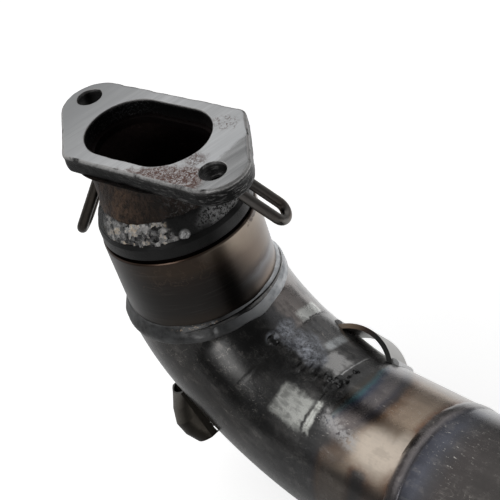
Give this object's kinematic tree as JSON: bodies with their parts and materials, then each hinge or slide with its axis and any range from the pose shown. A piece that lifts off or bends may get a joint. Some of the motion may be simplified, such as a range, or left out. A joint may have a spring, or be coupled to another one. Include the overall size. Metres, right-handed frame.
{
  "type": "scooter exhaust pipe",
  "caption": "Welded steel exhaust header pipe with an oval-port flange, spring hooks, a heat-tinted sleeve and a quarter bend.",
  "frame": {"origin": "centre of the flange's gasket face, midway between the two bolt holes", "axes": "+Z out of the gasket face toward the cylinder, +X along the flange's long sides; the pipe hangs toward -Z and leaves toward +X"},
  "size_m": [0.2039, 0.0864, 0.1267],
  "materials": {
    "flange_steel": "brushed, rust specks along the front edge",
    "neck_steel": "matt, brown-black scale",
    "hook_steel": "satin, dark",
    "weld_metal": "rough weld beads",
    "tinted_steel": "satin, bronze heat tint",
    "scaled_steel": "satin, black and grey heat scale",
    "banded_steel": "satin, heat tint in bands",
    "bracket_steel": "satin grey sheet"
  },
  "bodies": {
    "root": {"flange_plate": "flange_steel", "neck_tube": "neck_steel", "flange_weld": "neck_steel", "port_weld": "weld_metal", "collar": "neck_steel", "collar_weld": "weld_metal", "spigot": "neck_steel", "inlet_sleeve": "tinted_steel", "sleeve_weld": "weld_metal", "elbow_upper": "scaled_steel", "upper_seam": "scaled_steel", "elbow_lower": "scaled_steel", "lower_seam": "scaled_steel", "tinted_tube": "banded_steel", "outlet_weld": "weld_metal", "outlet_tube": "banded_steel", "hook_right": "hook_steel", "hook_left": "hook_steel", "hook_weld_right": "weld_metal", "hook_weld_left": "weld_metal", "strap_bracket": "bracket_steel", "strap_weld_upper": "weld_metal", "strap_weld_lower": "weld_metal", "side_bracket": "bracket_steel", "weld_lump_1": "weld_metal", "weld_lump_2": "weld_metal", "weld_lump_3": "weld_metal", "weld_lump_4": "weld_metal"}
  },
  "joints": []
}
